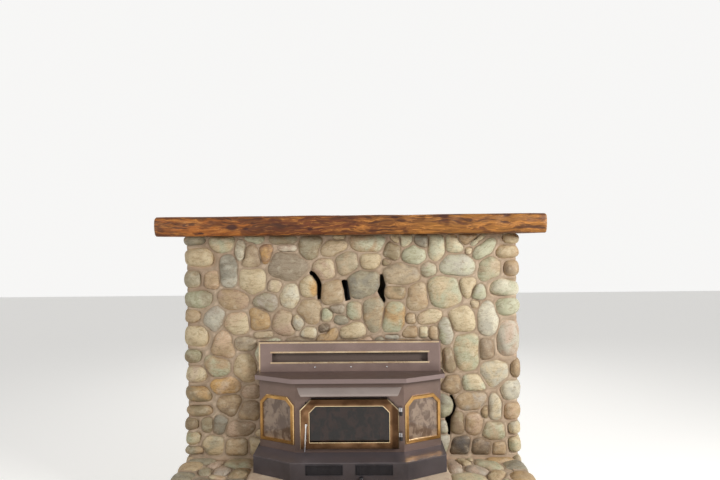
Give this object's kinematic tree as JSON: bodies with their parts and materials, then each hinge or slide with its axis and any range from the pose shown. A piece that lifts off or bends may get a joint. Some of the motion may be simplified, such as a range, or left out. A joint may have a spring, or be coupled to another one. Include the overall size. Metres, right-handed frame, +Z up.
{
  "type": "river stone fireplace with a log mantel and a steel stove insert, from a log cabin",
  "caption": "Log cabin fireplace: river stone chimney breast on a raised hearth, log mantel, and a bay-fronted steel stove with a glazed door that opens.",
  "frame": {"origin": "on the floor, at the middle of the object's length and depth", "axes": "+X to the right of someone facing the fire, +Y from the room into the wall, +Z up"},
  "size_m": [2.265, 1.15, 1.881],
  "materials": {
    "river_stone": "matte",
    "stained_pine": "satin",
    "stove_paint": "matte",
    "stove_plate": "matte",
    "brass_trim": "polished",
    "door_brass": "satin",
    "fire_glass": "glossy",
    "fire_brick": "matte",
    "lintel_steel": "matte",
    "flue_steel": "satin",
    "thimble_clay": "matte",
    "handle_chrome": "polished",
    "knob_plastic": "satin"
  },
  "bodies": {
    "fireplace": {"hearth_base": "river_stone", "left_pier": "river_stone", "right_pier": "river_stone", "left_jamb": "river_stone", "right_jamb": "river_stone", "right_jamb_head": "river_stone", "cool_gap_sill": "river_stone", "lintel_course": "river_stone", "vent_stone_1": "river_stone", "vent_stone_2": "river_stone", "vent_stone_3": "river_stone", "vent_stone_4": "river_stone", "top_course": "river_stone", "chamber_cap": "river_stone", "back_left": "river_stone", "back_right": "river_stone", "back_middle": "river_stone", "steel_lintel": "lintel_steel", "flue_pipe": "flue_steel", "flue_thimble": "thimble_clay", "mantel_log": "stained_pine", "base_box": "stove_paint", "ash_ledge": "stove_paint", "centre_plate": "stove_paint", "left_facet": "stove_paint", "right_facet": "stove_paint", "top_shelf": "stove_paint", "surround_panel": "stove_paint", "visor": "stove_paint", "firebox_shell": "stove_plate", "baffle": "stove_plate", "outlet_duct": "stove_plate", "left_grille": "stove_plate", "right_grille": "stove_plate", "hinge_pins": "stove_plate", "surround_trim": "brass_trim", "outlet_trim": "brass_trim", "left_window_frame": "brass_trim", "right_window_frame": "brass_trim", "left_window_glass": "fire_glass", "right_window_glass": "fire_glass", "floor_bricks": "fire_brick", "back_bricks": "fire_brick", "left_bricks": "fire_brick", "right_bricks": "fire_brick"},
    "door": {"door_frame": "stove_plate", "door_trim": "door_brass", "door_glass": "fire_glass", "hinge_knuckles": "stove_plate"},
    "handle": {"door_handle": "handle_chrome"},
    "air_control": {"air_rod": "knob_plastic"}
  },
  "joints": [
    {"name": "door_hinge", "type": "hinge", "parent": "fireplace", "child": "door", "pos_m": [0.282, -0.067, 0.705], "axis": [0, 0, 1], "range_deg": [0, 110]},
    {"name": "handle_turn", "type": "hinge", "parent": "door", "child": "handle", "pos_m": [-0.251, -0.085, 0.702], "axis": [0, 1, 0], "range_deg": [0, 90]},
    {"name": "air_slide", "type": "slide", "parent": "fireplace", "child": "air_control", "axis": [0, -1, 0], "range_m": [0, 0.05]}
  ]
}
